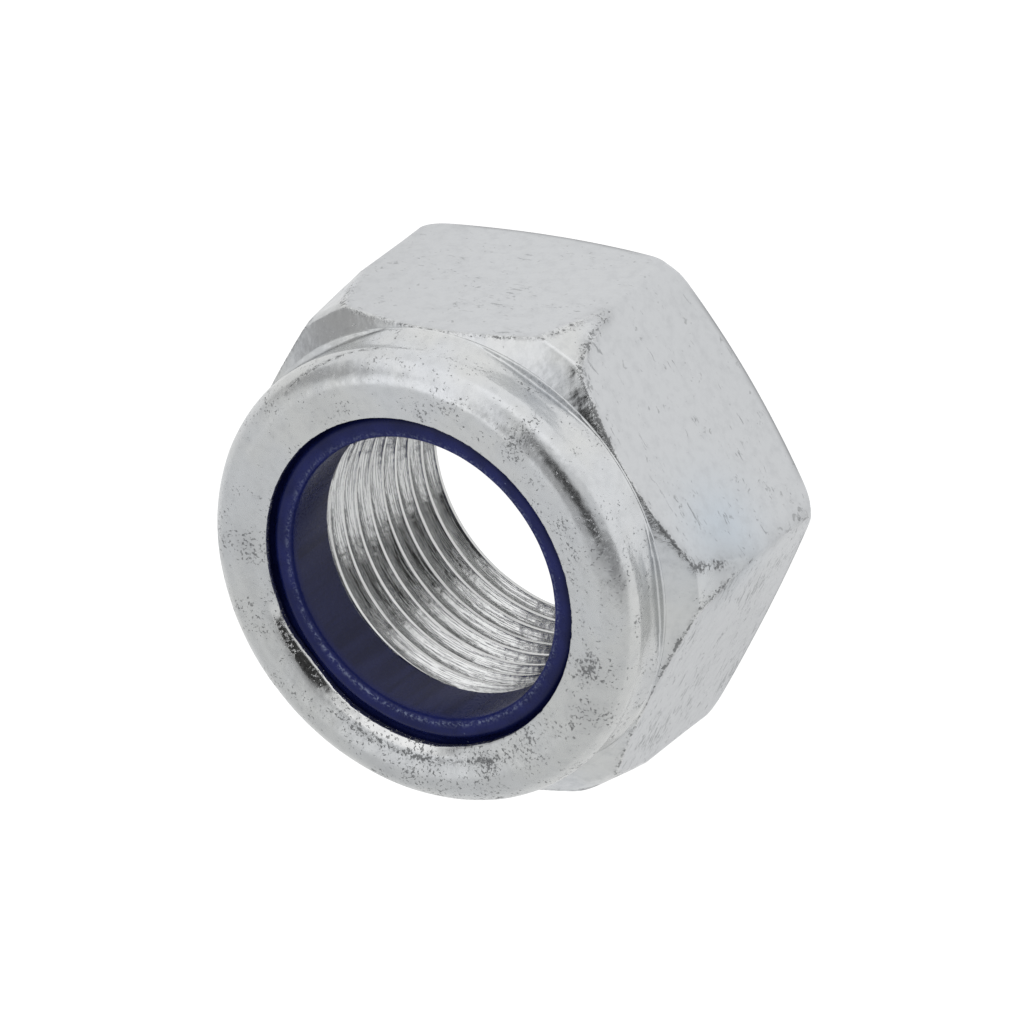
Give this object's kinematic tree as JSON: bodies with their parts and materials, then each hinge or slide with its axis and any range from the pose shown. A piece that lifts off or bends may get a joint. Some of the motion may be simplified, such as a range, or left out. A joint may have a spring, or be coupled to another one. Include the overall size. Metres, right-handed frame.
{
  "type": "nylon insert lock nut",
  "caption": "Hexagon lock nut with a round crimped collar at one end that holds a blue nylon locking ring behind the threaded bore.",
  "frame": {"origin": "centre of the bearing face, on the thread axis", "axes": "+Z runs along the thread axis from the bearing face to the locking ring; two opposite corners lie on X, and two flats face +Y and -Y"},
  "size_m": [0.0338, 0.0294, 0.0188],
  "materials": {
    "zinc_plated_steel": "bright zinc plating, satin, with fine dark pits along the formed edges",
    "blue_nylon": "dark blue moulded nylon, slightly glossy"
  },
  "bodies": {
    "root": {"nut_body": "zinc_plated_steel", "locking_ring": "blue_nylon"}
  },
  "joints": []
}
